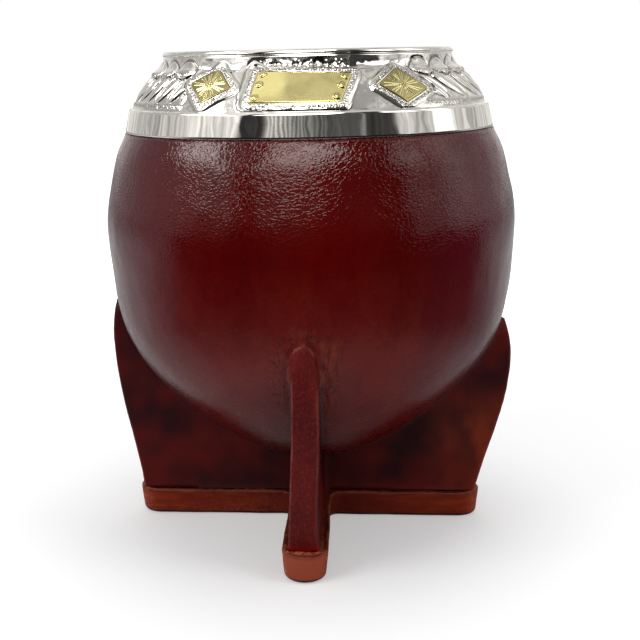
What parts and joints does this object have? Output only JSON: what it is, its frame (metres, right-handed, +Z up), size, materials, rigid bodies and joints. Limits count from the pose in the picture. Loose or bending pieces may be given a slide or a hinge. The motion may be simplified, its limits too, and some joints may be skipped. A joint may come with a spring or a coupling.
{
  "type": "mate gourd cup",
  "caption": "Empty mate drinking cup: a round gourd covered in dark red leather, standing on leather fins and a cross-shaped sole, with an ornamented polished metal rim.",
  "frame": {"origin": "on the surface it stands on, under the middle of the cup", "axes": "+X to the cup's right, -Y out of its front, +Z up"},
  "size_m": [0.0957, 0.0956, 0.1128],
  "materials": {
    "leather": "semi-gloss, fine pebble grain",
    "sole_leather": "satin, worn along the edges",
    "gourd": "matt, scraped calabash",
    "rim_metal": "polished white metal with chased relief",
    "brass": "polished pale brass, engraved"
  },
  "bodies": {
    "root": {"diamond_back_left": "brass", "diamond_back_right": "brass", "diamond_front_left": "brass", "diamond_front_right": "brass", "gourd_shell": "gourd", "leather_cover": "leather", "plate_back": "brass", "plate_front": "brass", "rim": "rim_metal", "rivet_back_1": "brass", "rivet_back_2": "brass", "rivet_back_3": "brass", "rivet_back_4": "brass", "rivet_back_5": "brass", "rivet_back_6": "brass", "rivet_front_1": "brass", "rivet_front_2": "brass", "rivet_front_3": "brass", "rivet_front_4": "brass", "rivet_front_5": "brass", "rivet_front_6": "brass", "sole": "sole_leather"}
  },
  "joints": []
}
